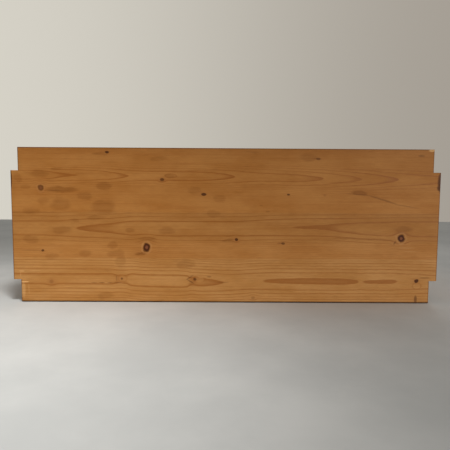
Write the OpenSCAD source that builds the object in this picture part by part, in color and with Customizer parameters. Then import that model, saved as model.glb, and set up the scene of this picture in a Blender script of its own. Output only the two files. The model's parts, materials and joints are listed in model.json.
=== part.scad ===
// Top bar hive with upright sides: a long wooden box whose notched side boards carry a row of
// loose bars, with a follower board, an open wire floor, a tray below it and a turning
// entrance disc. X runs along the box, the front side board faces -Y, Z is up.

/* [Box] */
// Height of the side boards from the foot to the top edge
side_h = 400; // [340:1:460]
// Length of the box over the tongues of the side boards
body_len = 1102; // [800:1:1400]
// Clear width between the two side boards
inner_w = 468; // [380:1:560]
// Thickness of the side and end boards
board_t = 18; // [16:0.5:24]
// Height of the upper corner notches of a side board
top_notch_h = 59; // [40:1:80]
// Height of the lower corner notches of a side board
foot_notch_h = 59; // [50:1:80]
// How far the tongues stand past the end boards
tongue_proud = 1; // [0.5:0.25:6]

/* [Top bars] */
// Width of one bar, the spacing of one comb
bar_w = 35; // [32:0.5:38]
// Thickness of a bar
bar_t = 24; // [18:0.5:28]
// How deep the bar rest is cut into a side board
rest_d = 9; // [7:0.5:11]
// Play of a bar at each of its two ends
bar_play = 1.5; // [0.5:0.1:2.5]
// Gap between neighbouring bars
bar_gap = 0.4; // [0.3:0.05:1]
// Width of the comb guide where it leaves the bar
guide_w = 20; // [14:0.5:26]
// Height of the comb guide
guide_h = 12; // [8:0.5:18]
// Bee space between the end of a comb guide and the side board
guide_end_gap = 12; // [8:0.5:20]

/* [Follower] */
// Place of the follower in the row of bars, counted from the left
follower_place = 12; // [3:1:18]
// Thickness of the follower panel
follower_t = 12; // [9:0.5:18]
// Gap between the follower panel and each side board
follower_gap = 2; // [1:0.25:5]
// Gap between the follower panel and the wire floor
follower_lift_gap = 5; // [3:0.5:10]
// Screws that hold the panel under its bar
follower_screw_count = 3; // [2:1:5]

/* [End rails] */
// Thickness of the rail at each end of the row of bars
rail_t = 18; // [15:0.5:24]
// How far a rail laps down over its end board
rail_lap = 41; // [30:1:60]
// Screws in each rail
rail_screw_count = 4; // [2:1:6]

/* [Floor] */
// Width of the floor battens
batten_w = 20; // [16:0.5:28]
// Height of the floor battens
batten_h = 18; // [14:0.5:24]
// Thickness of the woven wire floor
mesh_t = 1; // [0.8:0.1:1.6]
// Distance of the edge of the wire floor from the boards
mesh_edge = 2; // [1:0.5:5]
// Screws in each long floor batten
batten_screw_count = 4; // [3:1:6]
// Screws in each batten on an end board
cross_screw_count = 3; // [2:1:5]
// Staples along each long side of the wire floor
staple_count = 8; // [4:1:12]
// Staples along each end of the wire floor
end_staple_count = 3; // [2:1:5]

/* [Tray] */
// Width of the tray runners
runner_w = 15; // [12:0.5:20]
// Height of the tray runners
runner_h = 12; // [10:0.5:16]
// Height of the runners above the ground
runner_z = 22; // [18:0.5:26]
// Screws in each runner
runner_screw_count = 4; // [2:1:6]
// Thickness of the tray board
tray_t = 6; // [4:0.5:9]
// Play of the tray at each side and at its far end
tray_play = 7; // [4:0.5:9]
// Running gap between the tray and its runners
slide_gap = 0.3; // [0.2:0.05:0.6]
// Thickness of the tray lip
lip_t = 10; // [8:0.5:14]
// Height of the tray lip
lip_h = 36; // [30:0.5:44]
// Height of the lip above the ground
lip_z = 14; // [10:0.5:16]
// Depth of the groove in the lip that holds the tray board
lip_groove = 5; // [3:0.5:7]
// Width of the finger notch in the lip
grip_w = 100; // [70:1:140]
// Height of the finger notch in the lip
grip_h = 14; // [10:0.5:16]

/* [Entrance] */
// Diameter of the flight hole in the right end board
flight_d = 40; // [30:0.5:50]
// Height of the flight hole's lower edge above the wire floor
flight_lift = 9; // [5:0.5:20]
// Diameter of the entrance disc
disc_d = 116; // [100:1:150]
// Thickness of the entrance disc
disc_t = 1.2; // [0.8:0.1:2]
// Distance from the middle of the disc to the middle of its openings
disc_reach = 34; // [28:0.5:44]
// Diameter of the disc's open hole
disc_hole_d = 37; // [26:0.5:46]
// Diameter of one of the disc's vent holes
vent_d = 5; // [3:0.25:6]
// Spacing of the vent holes
vent_pitch = 9; // [7:0.25:12]
// Width of the disc's slots that hold back the queen
slot_w = 4.3; // [4:0.1:5]
// Length of the longest of these slots
slot_len = 26; // [18:0.5:32]
// Spacing of these slots
slot_pitch = 8; // [7:0.25:10]
// Running gap of the disc to the board, to its screw and under the screw head
disc_gap = 0.3; // [0.3:0.05:0.6]
// Diameter of the screw that the disc turns on
pivot_d = 5; // [4:0.25:6]
// Diameter of that screw's head
pivot_head_d = 12; // [10:0.5:14]
// Height of that screw's head
pivot_head_h = 2.8; // [2:0.1:4]

/* [Fixings] */
// Diameter of the corner dowels
dowel_d = 8; // [6:0.5:10]
// Corner dowels at each corner
dowel_count = 4; // [3:1:6]
// How far a dowel goes into a side board
dowel_in_side = 11; // [8:0.5:13]
// How far a dowel goes into an end board
dowel_in_end = 28; // [20:1:40]
// Free space at each end of a dowel
dowel_space = 1; // [0.5:0.25:2]
// Shank diameter of the wood screws
screw_d = 4; // [3:0.25:5]
// Head diameter of the wood screws
screw_head_d = 8; // [6.5:0.25:9]
// How far a screw bites into the second piece
screw_bite = 12; // [8:0.5:13.5]
// How far a follower screw bites into the panel
edge_bite = 26; // [16:1:40]
// Play around a screw or dowel in its hole
bore_play = 0.1; // [0.05:0.05:0.2]
// Width of a staple's crown
staple_w = 10; // [8:0.5:14]
// Thickness of the staple wire
staple_t = 0.8; // [0.6:0.1:1.2]
// Length of a staple's legs below the wire floor
staple_leg = 7; // [5:0.5:10]

/* [Hidden] */
$fn = 48;
half_len = body_len / 2;
notch_w = board_t + tongue_proud;
half_shoulder = half_len - notch_w;
shoulder_len = 2 * half_shoulder;
half_in = inner_w / 2;
end_top = side_h - top_notch_h;
end_h = end_top - foot_notch_h;
end_mid = half_shoulder + board_t / 2;
rail_face = half_shoulder - rail_t;
rail_base = end_top - rail_lap;
row_len = 2 * rail_face;
bar_pitch = bar_w + bar_gap;
bar_count = floor((row_len - bar_gap) / bar_pitch);
first_bar_x = -(bar_count - 1) * bar_pitch / 2;
bar_len = inner_w + 2 * (rest_d - bar_play);
bar_base = side_h - bar_t;
guide_len = inner_w - 2 * guide_end_gap;
guide_tip = 2;
follower_slot = min(follower_place, bar_count) - 1;
follower_x = bar_x(follower_slot);
floor_top = foot_notch_h + batten_h;
mesh_top = floor_top + mesh_t;
half_batten = half_in - batten_w;
batten_mid = foot_notch_h + batten_h / 2;
half_runner = half_in - runner_w;
cross_len = 2 * half_batten;
cross_mid_x = half_shoulder / 3;
panel_base = mesh_top + follower_lift_gap;
tray_base = runner_z + runner_h + slide_gap;
tray_half_w = half_in - tray_play;
lip_outer = -half_shoulder - lip_t - slide_gap;
lip_inner = -half_shoulder - slide_gap;
tray_end = half_shoulder - tray_play;
grip_flat = grip_w / 2 - grip_h;
flight_z = mesh_top + flight_lift + flight_d / 2;
disc_z = flight_z + disc_reach;
board_face = half_shoulder + board_t;
disc_face = board_face + disc_gap;
pivot_seat = disc_face + disc_t + disc_gap;
screw_head_h = (screw_head_d - screw_d) / 2;
screw_tip = screw_d;
screw_point_d = 0.5;
recess_w = screw_d / 4;
recess_h = screw_head_h * 0.6;
cut = 1;

// Names of the bars: every place in the row but the follower's
bar_places = [for (i = [0:bar_count - 1]) if (i != follower_slot) i];
bar_names = [for (k = [0:len(bar_places) - 1]) str("top_bar_", k < 9 ? "0" : "", k + 1)];
body_names = [
  "front_side_board", "rear_side_board", "left_end_board", "right_end_board",
  "left_top_rail", "right_top_rail", "corner_dowels", "rail_screws",
  "floor_batten_front", "floor_batten_rear", "floor_cross_left", "floor_cross_mid_left",
  "floor_cross_mid_right", "floor_cross_right", "floor_screws", "floor_mesh", "mesh_staples",
  "tray_runner_front", "tray_runner_rear", "runner_screws", "tray_board", "tray_lip",
  "entrance_disc", "disc_screw", "follower_bar", "follower_panel", "follower_screws"
];

oiled_pine = [0.60, 0.40, 0.21];
raw_pine = [0.84, 0.69, 0.47];
plywood = [0.77, 0.62, 0.43];
beech = [0.80, 0.63, 0.45];
zinc = [0.70, 0.71, 0.72];
steel = [0.60, 0.62, 0.63];

// Middle of the bar at place i, counted from the left
function bar_x(i) = first_bar_x + i * bar_pitch;
// Middle of field k of n equal fields over a length centred on zero
function spread(k, n, length) = -length / 2 + length * (k + 0.5) / n;

// A box from its lowest corner to its highest corner
module span(low, high) {
  translate(low) cube(high - low);
}

// A countersunk wood screw, head up at z = 0, shank down
module wood_screw(length) {
  difference() {
    union() {
      translate([0, 0, -screw_head_h]) cylinder(d1 = screw_d, d2 = screw_head_d, h = screw_head_h);
      translate([0, 0, screw_tip - length])
        cylinder(d = screw_d, h = length - screw_tip - screw_head_h);
      translate([0, 0, -length]) cylinder(d1 = screw_point_d, d2 = screw_d, h = screw_tip);
    }
    for (turn = [0, 90]) rotate(turn)
      translate([-screw_d / 2, -recess_w / 2, -recess_h]) cube([screw_d, recess_w, recess_h + cut]);
  }
}

// The hole such a screw sits in
module screw_bore(length) {
  mouth = screw_head_d + 2 * bore_play;
  shank = screw_d + 2 * bore_play;
  translate([0, 0, -screw_head_h]) cylinder(d1 = shank, d2 = mouth, h = screw_head_h);
  cylinder(d = mouth, h = cut);
  translate([0, 0, -length - cut]) cylinder(d = shank, h = length + cut - screw_head_h / 2);
}

// Places of the four rows of corner dowels; side is -1 for the front, end is -1 for the left
module at_dowels(side, end) {
  for (k = [0:dowel_count - 1])
    translate([end * end_mid, side * half_in, foot_notch_h + end_h * (k + 0.5) / dowel_count])
      rotate([side * 90, 0, 0]) children();
}

// Places of the screws of one end rail, heads facing into the box
module at_rail_screws(end) {
  for (k = [0:rail_screw_count - 1])
    translate([end * rail_face, spread(k, rail_screw_count, inner_w), end_top - rail_lap / 2])
      rotate([0, -end * 90, 0]) children();
}

// Places of the screws of one long floor batten
module at_batten_screws(side) {
  for (k = [0:batten_screw_count - 1])
    translate([spread(k, batten_screw_count, shoulder_len), side * half_batten, batten_mid])
      rotate([side * 90, 0, 0]) children();
}

// Places of the screws of one floor batten on an end board
module at_cross_screws(end) {
  for (k = [0:cross_screw_count - 1])
    translate([end * (half_shoulder - batten_w), spread(k, cross_screw_count, cross_len), batten_mid])
      rotate([0, -end * 90, 0]) children();
}

// Places of the screws of one tray runner
module at_runner_screws(side) {
  for (k = [0:runner_screw_count - 1])
    translate([spread(k, runner_screw_count, shoulder_len), side * half_runner, runner_z + runner_h / 2])
      rotate([side * 90, 0, 0]) children();
}

// Places of the screws of the follower
module at_follower_screws() {
  for (k = [0:follower_screw_count - 1])
    translate([follower_x, spread(k, follower_screw_count, inner_w), side_h]) children();
}

// Places of the staples along the two long sides and the two ends of the wire floor
module at_staples() {
  for (side = [-1, 1]) for (k = [0:staple_count - 1])
    translate([spread(k, staple_count, shoulder_len), side * (half_in - batten_w / 2), mesh_top])
      children();
  for (end = [-1, 1]) for (k = [0:end_staple_count - 1])
    translate([end * (half_shoulder - batten_w / 2), spread(k, end_staple_count, cross_len), mesh_top])
      rotate(90) children();
}

module staple_legs(play) {
  leg = staple_t + 2 * play;
  for (s = [-1, 1])
    translate([s * (staple_w - staple_t) / 2 - leg / 2, -leg / 2, -staple_leg - mesh_t - play])
      cube([leg, leg, staple_leg + mesh_t + play + staple_t / 2]);
}

module dowel_bore(depth) {
  translate([0, 0, -cut]) cylinder(d = dowel_d + 2 * bore_play, h = depth + dowel_space + cut);
}

// One side board with notched corners and a bar rest along its inner top edge
module side_board(side) {
  color(oiled_pine) difference() {
    translate([0, side > 0 ? half_in : -half_in - board_t, 0]) {
      span([-half_shoulder, 0, 0], [half_shoulder, board_t, side_h]);
      span([-half_len, 0, foot_notch_h], [half_len, board_t, end_top]);
    }
    translate([-rail_face, side > 0 ? half_in - cut : -half_in - rest_d, bar_base])
      cube([row_len, rest_d + cut, bar_t + cut]);
    for (end = [-1, 1]) at_dowels(side, end) mirror([0, 0, 1]) dowel_bore(dowel_in_side);
    at_batten_screws(side) screw_bore(batten_w + screw_bite);
    at_runner_screws(side) screw_bore(runner_w + screw_bite);
  }
}

module front_side_board() {
  side_board(-1);
}

module rear_side_board() {
  side_board(1);
}

// One end board between the side boards, with the bores that both ends share
module end_board(end) {
  difference() {
    span([min(end * half_shoulder, end * board_face), -half_in, foot_notch_h],
         [max(end * half_shoulder, end * board_face), half_in, end_top]);
    for (side = [-1, 1]) at_dowels(side, end) dowel_bore(dowel_in_end);
    at_rail_screws(end) screw_bore(rail_t + screw_bite);
    at_cross_screws(end) screw_bore(batten_w + screw_bite);
  }
}

module left_end_board() {
  color(oiled_pine) end_board(-1);
}

module right_end_board() {
  color(oiled_pine) difference() {
    end_board(1);
    translate([half_shoulder - cut, 0, flight_z])
      rotate([0, 90, 0]) cylinder(d = flight_d, h = board_t + 2 * cut);
    translate([board_face - screw_bite - cut, 0, disc_z])
      rotate([0, 90, 0]) cylinder(d = pivot_d + 2 * bore_play, h = screw_bite + 2 * cut);
  }
}

module top_rail(end) {
  color(raw_pine) difference() {
    span([min(end * rail_face, end * half_shoulder), -half_in, rail_base],
         [max(end * rail_face, end * half_shoulder), half_in, side_h]);
    at_rail_screws(end) screw_bore(rail_t + screw_bite);
  }
}

module left_top_rail() {
  top_rail(-1);
}

module right_top_rail() {
  top_rail(1);
}

module corner_dowels() {
  color(beech) for (side = [-1, 1]) for (end = [-1, 1])
    at_dowels(side, end) translate([0, 0, -dowel_in_side])
      cylinder(d = dowel_d, h = dowel_in_side + dowel_in_end);
}

module rail_screws() {
  color(zinc) for (end = [-1, 1]) at_rail_screws(end) wood_screw(rail_t + screw_bite);
}

module floor_batten(side) {
  color(raw_pine) difference() {
    span([-half_shoulder, min(side * half_batten, side * half_in), foot_notch_h],
         [half_shoulder, max(side * half_batten, side * half_in), floor_top]);
    at_batten_screws(side) screw_bore(batten_w + screw_bite);
    at_staples() staple_legs(bore_play);
  }
}

module floor_batten_front() {
  floor_batten(-1);
}

module floor_batten_rear() {
  floor_batten(1);
}

module floor_cross(x) {
  span([x - batten_w / 2, -half_batten, foot_notch_h], [x + batten_w / 2, half_batten, floor_top]);
}

module floor_cross_end(end) {
  color(raw_pine) difference() {
    floor_cross(end * (half_shoulder - batten_w / 2));
    at_cross_screws(end) screw_bore(batten_w + screw_bite);
    at_staples() staple_legs(bore_play);
  }
}

module floor_cross_left() {
  floor_cross_end(-1);
}

module floor_cross_mid_left() {
  color(raw_pine) floor_cross(-cross_mid_x);
}

module floor_cross_mid_right() {
  color(raw_pine) floor_cross(cross_mid_x);
}

module floor_cross_right() {
  floor_cross_end(1);
}

module floor_screws() {
  color(zinc) {
    for (side = [-1, 1]) at_batten_screws(side) wood_screw(batten_w + screw_bite);
    for (end = [-1, 1]) at_cross_screws(end) wood_screw(batten_w + screw_bite);
  }
}

module floor_mesh() {
  color(steel) difference() {
    span([mesh_edge - half_shoulder, mesh_edge - half_in, floor_top],
         [half_shoulder - mesh_edge, half_in - mesh_edge, mesh_top]);
    at_staples() staple_legs(bore_play);
  }
}

module mesh_staples() {
  color(zinc) at_staples() {
    staple_legs(0);
    translate([-staple_w / 2, -staple_t / 2, 0]) cube([staple_w, staple_t, staple_t]);
  }
}

module tray_runner(side) {
  color(raw_pine) difference() {
    span([-half_shoulder, min(side * half_runner, side * half_in), runner_z],
         [half_shoulder, max(side * half_runner, side * half_in), runner_z + runner_h]);
    at_runner_screws(side) screw_bore(runner_w + screw_bite);
  }
}

module tray_runner_front() {
  tray_runner(-1);
}

module tray_runner_rear() {
  tray_runner(1);
}

module runner_screws() {
  color(zinc) for (side = [-1, 1]) at_runner_screws(side) wood_screw(runner_w + screw_bite);
}

module tray_board() {
  color(plywood) span([lip_inner - lip_groove, -tray_half_w, tray_base],
                      [tray_end, tray_half_w, tray_base + tray_t]);
}

// The lip closes the tray gap under the left end board and is pulled by its finger notch
module tray_lip() {
  color(raw_pine) difference() {
    span([lip_outer, -tray_half_w, lip_z], [lip_inner, tray_half_w, lip_z + lip_h]);
    span([lip_inner - lip_groove, -tray_half_w - cut, tray_base],
         [lip_inner + cut, tray_half_w + cut, tray_base + tray_t]);
    span([lip_outer - cut, -grip_flat, lip_z - cut], [lip_inner + cut, grip_flat, lip_z + grip_h]);
    for (s = [-1, 1]) translate([lip_outer - cut, s * grip_flat, lip_z])
      rotate([0, 90, 0]) cylinder(r = grip_h, h = lip_t + 2 * cut);
  }
}

// Openings of the disc, drawn with the open hole downwards
module disc_openings() {
  depth = disc_t + 2 * cut;
  translate([0, 0, -cut]) cylinder(d = pivot_d + 2 * disc_gap, h = depth);
  translate([disc_reach, 0, -cut]) cylinder(d = disc_hole_d, h = depth);
  translate([0, disc_reach, -cut]) {
    cylinder(d = vent_d, h = depth);
    for (turn = [0:60:300]) rotate(turn) translate([vent_pitch, 0, 0]) cylinder(d = vent_d, h = depth);
  }
  translate([0, -disc_reach, -cut]) for (k = [-1, 0, 1])
    translate([k * slot_pitch, 0, 0]) disc_slot(slot_len - abs(k) * slot_w, depth);
}

module disc_slot(length, depth) {
  straight = length - slot_w;
  translate([-slot_w / 2, -straight / 2, 0]) cube([slot_w, straight, depth]);
  for (s = [-1, 1]) translate([0, s * straight / 2, 0]) cylinder(d = slot_w, h = depth);
}

module entrance_disc() {
  color(steel) translate([disc_face, 0, disc_z]) rotate([0, 90, 0]) difference() {
    cylinder(d = disc_d, h = disc_t, $fn = 96);
    disc_openings();
  }
}

module disc_screw() {
  color(zinc) translate([pivot_seat, 0, disc_z]) rotate([0, 90, 0]) {
    difference() {
      cylinder(d = pivot_head_d, h = pivot_head_h);
      for (turn = [0, 90]) rotate(turn) translate([-pivot_head_d / 4, -recess_w / 2, pivot_head_h / 2])
        cube([pivot_head_d / 2, recess_w, pivot_head_h]);
    }
    translate([0, 0, board_face - screw_bite - pivot_seat])
      cylinder(d = pivot_d, h = screw_bite + pivot_seat - board_face);
  }
}

module plain_bar(x) {
  span([x - bar_w / 2, -bar_len / 2, bar_base], [x + bar_w / 2, bar_len / 2, side_h]);
}

// One bar with its comb guide, a ridge that the bees hang the comb from
module top_bar(place) {
  color(raw_pine) union() {
    plain_bar(bar_x(place));
    translate([bar_x(place), guide_len / 2, bar_base]) rotate([90, 0, 0]) linear_extrude(height = guide_len)
      polygon([[-guide_w / 2, 0], [-guide_tip / 2, -guide_h], [guide_tip / 2, -guide_h], [guide_w / 2, 0]]);
  }
}

module follower_bar() {
  color(raw_pine) difference() {
    plain_bar(follower_x);
    at_follower_screws() screw_bore(bar_t + edge_bite);
  }
}

module follower_panel() {
  half_w = half_in - follower_gap;
  color(raw_pine) difference() {
    span([follower_x - follower_t / 2, -half_w, panel_base], [follower_x + follower_t / 2, half_w, bar_base]);
    at_follower_screws() screw_bore(bar_t + edge_bite);
  }
}

module follower_screws() {
  color(zinc) at_follower_screws() wood_screw(bar_t + edge_bite);
}

front_side_board();
rear_side_board();
left_end_board();
right_end_board();
left_top_rail();
right_top_rail();
corner_dowels();
rail_screws();
floor_batten_front();
floor_batten_rear();
floor_cross_left();
floor_cross_mid_left();
floor_cross_mid_right();
floor_cross_right();
floor_screws();
floor_mesh();
mesh_staples();
tray_runner_front();
tray_runner_rear();
runner_screws();
tray_board();
tray_lip();
entrance_disc();
disc_screw();
follower_bar();
follower_panel();
follower_screws();
for (k = [0:len(bar_names) - 1])
  top_bar(bar_places[k]);
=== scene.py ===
# %% [markdown]
# # A top bar hive, board by board
# The hive is a long wooden box. Its two notched side boards carry a row of loose bars, bees hang
# their combs from the bars, and the beekeeper lifts the bars out one at a time.
# The CAD model already has every piece at its true size. This lesson gives the pieces eased edges,
# real grain and real metal, and keeps each of them exactly where the CAD model has it.

# %% Load the fixed frame
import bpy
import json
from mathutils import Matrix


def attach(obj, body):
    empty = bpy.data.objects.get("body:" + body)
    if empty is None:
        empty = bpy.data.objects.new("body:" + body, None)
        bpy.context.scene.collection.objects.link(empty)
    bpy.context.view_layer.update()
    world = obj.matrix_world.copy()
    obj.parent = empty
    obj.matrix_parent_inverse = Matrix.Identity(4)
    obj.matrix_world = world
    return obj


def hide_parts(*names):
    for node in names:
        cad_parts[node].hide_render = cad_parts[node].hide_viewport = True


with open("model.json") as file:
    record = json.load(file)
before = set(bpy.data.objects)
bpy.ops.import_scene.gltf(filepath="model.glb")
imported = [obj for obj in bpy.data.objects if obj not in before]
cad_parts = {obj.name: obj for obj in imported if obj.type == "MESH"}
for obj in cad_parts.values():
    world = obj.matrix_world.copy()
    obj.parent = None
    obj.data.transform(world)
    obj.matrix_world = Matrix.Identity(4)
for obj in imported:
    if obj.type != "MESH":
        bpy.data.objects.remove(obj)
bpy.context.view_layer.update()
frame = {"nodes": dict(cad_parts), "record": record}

# %% Tools from the shelf
import json
import math
import random

import bmesh
import bpy
from mathutils import Matrix, Vector

record = frame["record"]
body_of = {node: body for body, nodes in record["behaviour"]["bodies"].items() for node in nodes}
MM = 0.001

# %% [markdown]
# ## Camera
# The photograph looks at one long side, square-on and a little from above. The four outer corners
# of the notched board fix the camera: its distance, its height and its small tilt. A camera can
# be aimed by hand, but here the turn is written as three plain rotations, so it can be checked.

# %% The photograph's viewpoint
SENSOR, LENS = 36.0, 38.956                # millimetres
PAN, PITCH, ROLL = -0.369, -5.151, 0.349   # degrees
STAND = (-0.01065, -1.5041, 0.31652)       # metres


def in_scene(name, data):
    thing = bpy.data.objects.new(name, data)
    bpy.context.scene.collection.objects.link(thing)
    return thing


eye = bpy.data.cameras.new("viewpoint")
eye.sensor_width, eye.lens = SENSOR, LENS
eye.clip_start, eye.clip_end = 0.01, 100.0
viewpoint = in_scene("viewpoint", eye)
aim = Matrix()
for angle, axis in ((PAN, "Z"), (90 + PITCH, "X"), (ROLL, "Z")):
    aim = aim @ Matrix.Rotation(math.radians(angle), 4, axis)
viewpoint.matrix_world = Matrix.Translation(STAND) @ aim
bpy.context.scene.camera = viewpoint
bpy.context.scene.view_settings.view_transform = "Standard"
print("camera stands", round(abs(viewpoint.location.y), 3), "m in front of the middle of the hive")

# %% [markdown]
# ## A short way to write nodes
# Finishes and Geometry Nodes are both made of nodes joined by links. Writing each link by hand is
# slow to read. So the output of a node is wrapped as a reading, which can be added, multiplied or
# faded as if it were a number, and each such sum adds the node that does it.

# %% Readings
class Reading:
    """The output of a node, to reckon with like a number."""

    def __init__(self, tree, socket):
        self.tree, self.socket = tree, socket

    def math(self, operation, *terms):
        return add(self.tree, "ShaderNodeMath", dict(enumerate((self, *terms))), operation=operation)

    def __add__(self, other):
        return self.math("ADD", other)

    def __sub__(self, other):
        return self.math("SUBTRACT", other)

    def __rsub__(self, other):
        return self.math("MULTIPLY_ADD", -1.0, other)

    def __mul__(self, other):
        return self.math("MULTIPLY", other)

    __rmul__ = __mul__

    def __truediv__(self, other):
        return self.math("DIVIDE", other)

    def fade(self, start, end, low=0.0, high=1.0):
        """A soft step: low up to the start, high from the end on."""
        span = {"Value": self, "From Min": start, "From Max": end, "To Min": low, "To Max": high}
        return add(self.tree, "ShaderNodeMapRange", span, interpolation_type="SMOOTHSTEP")


def feed(tree, socket, value):
    if isinstance(value, Reading):
        tree.links.new(value.socket, socket)
    else:
        socket.default_value = value


def new_node(tree, kind, inputs=None, **settings):
    made = tree.nodes.new(kind)
    for key, value in settings.items():
        setattr(made, key, value)
    for key, value in (inputs or {}).items():
        feed(tree, made.inputs[key], value)
    return made


def add(tree, kind, inputs=None, output=0, **settings):
    """Adds a node and hands back the reading of one of its outputs."""
    return Reading(tree, new_node(tree, kind, inputs, **settings).outputs[output])


print("readings can be added, taken away, multiplied, divided and faded")

# %% Colours, vectors and clouds
def blend(tree, share, first, second, mode="MIX"):
    return add(tree, "ShaderNodeMix", {0: share, 6: first, 7: second}, 2, data_type="RGBA", blend_type=mode)


def layers(tree, colour, tones, coats):
    """Lays coats of (share, strength, tone) over a colour, one after the other."""
    for share, strength, tone in coats:
        colour = blend(tree, share * strength, colour, tones[tone])
    return colour


def parts(vector):
    split = new_node(vector.tree, "ShaderNodeSeparateXYZ", {0: vector})
    return [Reading(vector.tree, socket) for socket in split.outputs]


def vector_of(tree, *values):
    return add(tree, "ShaderNodeCombineXYZ", dict(enumerate(values)))


def cloud(point, stretch, detail=2.0, roughness=0.5):
    scaled = add(point.tree, "ShaderNodeVectorMath", {0: point, 1: stretch}, operation="MULTIPLY")
    wanted = {"Vector": scaled, "Scale": 1.0, "Detail": detail, "Roughness": roughness}
    return add(point.tree, "ShaderNodeTexNoise", wanted)


def tint(red, green, blue):
    def linear(level):
        level /= 255
        return level / 12.92 if level <= 0.04045 else ((level + 0.055) / 1.055) ** 2.4
    return (linear(red), linear(green), linear(blue), 1.0)


print("honey brown as the shader stores it:", [round(c, 3) for c in tint(155, 103, 55)])

# %% A finish and its surface
def new_finish(name):
    finish = bpy.data.materials.new(name)
    finish.use_nodes = True
    return finish, finish.node_tree


def surface(tree, colour, roughness, height=None, strength=0.0, depth=0.0):
    """Joins colour, roughness and relief to the shader, and hands back the shader's sockets."""
    shader = tree.nodes["Principled BSDF"].inputs
    feed(tree, shader["Base Color"], colour)
    feed(tree, shader["Roughness"], roughness)
    if height is not None:
        relief = {"Height": height, "Strength": strength, "Distance": depth}
        feed(tree, shader["Normal"], add(tree, "ShaderNodeBump", relief))
    return shader


print("a finish needs a colour, a roughness and a relief")

# %% [markdown]
# ## Oiled pine: how a board shows its grain
# A tree grows in rings, so a board is a slice through nested tubes. Where the saw passes close to
# the heart of the tube, the rings meet the face in long arches; away from it they are straight
# lines. A picture of wood would only suit one face. A solid finish is better: it measures the
# distance from each point of the board to the heart of the tree and counts rings, so the face, the
# edges and the end grain agree with each other.
# A board is glued from three or four staves, each from another place in a tree, so each stave has
# its own heart line. How deep that heart lies behind the face changes along the board, and every
# time it passes one whole ring an arch begins. A curve holds that depth, in rings.

# %% Ring counter of one stave
HEADROOM = 0.5


def bend(along, half_length, points):
    """A value that changes along the board, from a curve through (millimetres along, value)."""
    tree, values = along.tree, [value for _, value in points]
    low, high = min(values) - HEADROOM, max(values) + HEADROOM
    curve = new_node(tree, "ShaderNodeFloatCurve", {"Value": along * (0.5 / half_length) + 0.5})
    line = curve.mapping.curves[0]
    spots = [((x + half_length) / (2 * half_length), (value - low) / (high - low)) for x, value in points]
    for spot in spots[1:-1]:
        line.points.new(*spot)
    for point, spot in zip(line.points, spots):
        point.location = spot
        point.handle_type = "AUTO_CLAMPED"
    curve.mapping.update()
    return Reading(tree, curve.outputs[0]) * (high - low) + low


def ring_count(off, depth, ring, rings_deep):
    """Distance from the heart of the tree, counted in rings of the given width."""
    below = rings_deep * ring - depth
    return (off * off + below * below).math("SQRT") / ring


print("ring counter ready")

# %% [markdown]
# ## Knots, eyes and spots
# A knot is a branch that the trunk grew round: the core is dark, often with a paler middle, and the
# grain parts and closes again like water round a stone. A young branch leaves a pale eye with a thin
# dark line round it. Oil soaks in unevenly and leaves darker spots. Each of these is a small node
# group. They are chained, one for each knot or spot, and each hands on what it has found.

# %% Groups for a knot and for a spot
KNOT_PLACE = ("At", "Up", "Radius", "Stretch", "Darkness", "Glow")
KNOT_FOUND = ("Core", "Halo", "Middle", "Swirl")
SPOT_PLACE = ("At", "Up", "Half Length", "Half Height", "Strength", "Slope")
SPOT_FOUND = ("Spot", "Rim")


def group(name, inputs, outputs):
    tree = bpy.data.node_groups.new(name, "ShaderNodeTree")
    for way, labels in (("INPUT", inputs), ("OUTPUT", outputs)):
        for label in labels:
            tree.interface.new_socket(label, in_out=way, socket_type="NodeSocketFloat")
    given = {socket.name: Reading(tree, socket) for socket in tree.nodes.new("NodeGroupInput").outputs}
    return tree, given, tree.nodes.new("NodeGroupOutput").inputs


def oval(given, half_length, half_height, slope=0.0):
    """Squared distance from the middle of an oval that may lean, 1 on its rim."""
    run = given["Along"] - given["At"]
    rise = given["Across"] - (run * slope + given["Up"])
    dx, dz = run / half_length, rise / half_height
    return dx * dx + dz * dz


def knot_group():
    inputs = ("Along", "Across", "Wobble", *KNOT_FOUND, *KNOT_PLACE)
    tree, given, found = group("knot", inputs, ("Across", *KNOT_FOUND))
    far = oval(given, given["Radius"] * given["Stretch"], given["Radius"])
    lift = (given["Across"] - given["Up"]) * (far * -0.2).math("EXPONENT")
    feed(tree, found["Across"], given["Across"] - lift)
    rough = far * given["Wobble"] + far
    large = given["Radius"].fade(5.0, 9.0)
    values = {
        "Core": rough.fade(1.4, 0.5) * given["Darkness"],
        "Halo": (rough * -0.28).math("EXPONENT") * given["Glow"],
        "Middle": rough.fade(0.3, 0.0) * large,
        "Swirl": rough.fade(1.0, 1.7) * rough.fade(3.2, 1.7) * large}
    for label, value in values.items():
        feed(tree, found[label], given[label].math("MAXIMUM", value))
    return tree


def spot_group():
    tree, given, found = group("spot", ("Along", "Across", *SPOT_FOUND, *SPOT_PLACE), SPOT_FOUND)
    far = oval(given, given["Half Length"], given["Half Height"], given["Slope"])
    values = {"Spot": far.fade(1.5, 0.3), "Rim": far.fade(0.55, 0.95) * far.fade(1.7, 1.1)}
    for label, value in values.items():
        feed(tree, found[label], given[label].math("MAXIMUM", value * given["Strength"]))
    return tree


knot_nodes, spot_nodes = knot_group(), spot_group()
print("groups:", knot_nodes.name, spot_nodes.name)

# %% Chains of groups
def chain(tree, nodes, carried, labels, places):
    """Chains one group for each place. What it carries goes in at one end and comes out at the other."""
    for place in places:
        link = new_node(tree, "ShaderNodeGroup", node_tree=nodes)
        for label, value in (*carried.items(), *zip(labels, place)):
            feed(tree, link.inputs[label], value)
        carried = {label: Reading(tree, link.outputs[label]) if label in link.outputs else value
                   for label, value in carried.items()}
    return carried


def knots_on(tree, along, across, wobble, places):
    given = {"Along": along, "Across": across, "Wobble": wobble, **dict.fromkeys(KNOT_FOUND, 0.0)}
    return chain(tree, knot_nodes, given, KNOT_PLACE, places)


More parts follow.
